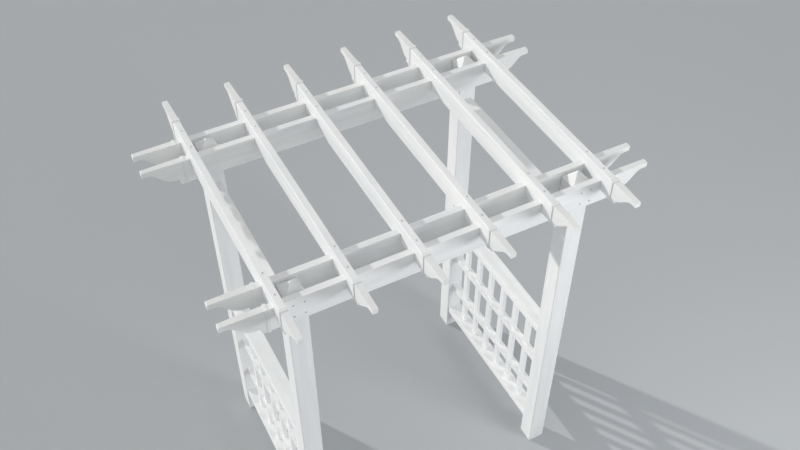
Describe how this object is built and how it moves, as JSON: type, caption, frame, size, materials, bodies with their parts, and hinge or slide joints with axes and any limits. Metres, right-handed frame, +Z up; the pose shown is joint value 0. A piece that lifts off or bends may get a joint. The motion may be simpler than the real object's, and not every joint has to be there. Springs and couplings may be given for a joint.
{
  "type": "garden arbor",
  "caption": "White vinyl garden arbor: square posts with low pyramid caps, paired beams, notched rafters with ogee end caps, and lattice side panels",
  "frame": {"origin": "bottom centre of the arbor at ground level, midway between the four posts", "axes": "+X to the right across the passage, along the beams; +Y through the passage, along the rafters, away from the front; +Z up"},
  "size_m": [2.211, 1.7356, 2.3045],
  "materials": {
    "vinyl": "satin"
  },
  "bodies": {
    "root": {"beam_back_inner": "vinyl", "beam_back_outer": "vinyl", "beam_end_cap_back_inner_left": "vinyl", "beam_end_cap_back_inner_right": "vinyl", "beam_end_cap_back_outer_left": "vinyl", "beam_end_cap_back_outer_right": "vinyl", "beam_end_cap_front_inner_left": "vinyl", "beam_end_cap_front_inner_right": "vinyl", "beam_end_cap_front_outer_left": "vinyl", "beam_end_cap_front_outer_right": "vinyl", "beam_front_inner": "vinyl", "beam_front_outer": "vinyl", "panel_bottom_rail_left": "vinyl", "panel_bottom_rail_right": "vinyl", "panel_top_rail_left": "vinyl", "panel_top_rail_right": "vinyl", "post_back_left": "vinyl", "post_back_right": "vinyl", "post_cap_back_left": "vinyl", "post_cap_back_right": "vinyl", "post_cap_front_left": "vinyl", "post_cap_front_right": "vinyl", "post_front_left": "vinyl", "post_front_right": "vinyl", "rafter_1": "vinyl", "rafter_2": "vinyl", "rafter_3": "vinyl", "rafter_4": "vinyl", "rafter_5": "vinyl", "rafter_6": "vinyl", "rafter_end_cap_1_back": "vinyl", "rafter_end_cap_1_front": "vinyl", "rafter_end_cap_2_back": "vinyl", "rafter_end_cap_2_front": "vinyl", "rafter_end_cap_3_back": "vinyl", "rafter_end_cap_3_front": "vinyl", "rafter_end_cap_4_back": "vinyl", "rafter_end_cap_4_front": "vinyl", "rafter_end_cap_5_back": "vinyl", "rafter_end_cap_5_front": "vinyl", "rafter_end_cap_6_back": "vinyl", "rafter_end_cap_6_front": "vinyl", "side_lattice_left": "vinyl", "side_lattice_right": "vinyl", "upper_side_rails": "vinyl"}
  },
  "joints": []
}
